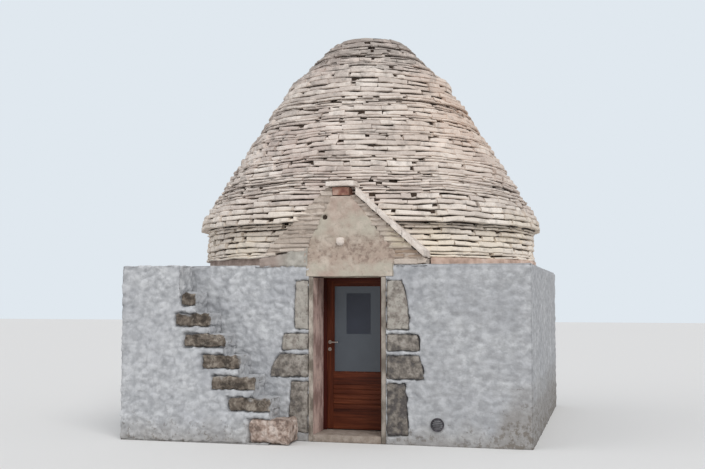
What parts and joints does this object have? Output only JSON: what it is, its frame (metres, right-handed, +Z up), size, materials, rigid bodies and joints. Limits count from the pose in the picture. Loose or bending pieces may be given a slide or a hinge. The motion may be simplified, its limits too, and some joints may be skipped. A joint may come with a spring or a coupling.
{
  "type": "trullo house",
  "caption": "Single-room stone house with thick whitewashed walls, a dry-stone cone roof over a corbelled vault, a gabled doorway and an outside stair.",
  "frame": {"origin": "on the ground, on the axis of the cone and of the vault", "axes": "+X to the right of the door seen from outside, +Y from the door to the rear, +Z up"},
  "size_m": [5.3, 5.62, 5.758],
  "materials": {
    "whitewash": "matte limewash over rubble",
    "lining": "matte lime plaster",
    "roof_stone": "matte weathered limestone",
    "vault_stone": "matte limestone",
    "gable_stone": "matte plastered stone",
    "verge_stone": "matte pale limestone",
    "cornice_plaster": "matte ochre lime plaster",
    "tile": "matte fired clay",
    "jamb_stone": "matte lichened limestone",
    "step_stone": "matte rough dark limestone",
    "block_stone": "matte pink limestone",
    "floor_stone": "worn limestone flags",
    "door_wood": "varnished red-brown wood",
    "frame_wood": "varnished dark wood",
    "glass": "obscured grey glazing",
    "handle_metal": "satin",
    "hinge_metal": "dull",
    "vent_metal": "dark painted"
  },
  "bodies": {
    "house": {"floor_slab": "floor_stone", "front_wall_left": "whitewash", "front_wall_right": "whitewash", "left_party_wall": "whitewash", "right_party_wall": "whitewash", "rear_wall": "whitewash", "corner_slabs": "vault_stone", "threshold": "block_stone", "reveal_linings": "lining", "door_lintel": "gable_stone", "inner_lintel": "vault_stone", "left_jamb_stones": "jamb_stone", "right_jamb_stones": "jamb_stone", "frame_posts": "frame_wood", "frame_head": "frame_wood", "frame_hinges": "hinge_metal", "wall_vent": "vent_metal", "roof_drum": "roof_stone", "roof_lower": "roof_stone", "roof_middle": "roof_stone", "roof_upper": "roof_stone", "roof_crown": "roof_stone", "cornice": "cornice_plaster", "inner_vault": "vault_stone", "vault_cap": "vault_stone", "gable_face": "gable_stone", "gable_shoulder_left": "roof_stone", "gable_shoulder_right": "roof_stone", "plaster_fillet": "whitewash", "verge_slab_row": "verge_stone", "ridge_tile": "tile", "ridge_slab": "verge_stone", "stair_mass": "whitewash", "stair_block": "block_stone", "stair_steps": "step_stone"},
    "door": {"leaf_stiles": "door_wood", "leaf_rails": "door_wood", "leaf_glass": "glass", "leaf_boards": "door_wood", "door_roses": "handle_metal", "leaf_hinges": "hinge_metal"},
    "lever": {"door_lever": "handle_metal"}
  },
  "joints": [
    {"name": "door_hinge", "type": "hinge", "parent": "house", "child": "door", "pos_m": [0.726, -1.936, 1.09], "axis": [0, 0, -1], "range_deg": [0, 95]},
    {"name": "lever_turn", "type": "hinge", "parent": "door", "child": "lever", "pos_m": [-0.0745, -1.9675, 1.25], "axis": [0, 1, 0], "range_deg": [0, 40], "stiffness_Nm_per_rad": 1.2, "springref_deg": -45.84}
  ]
}
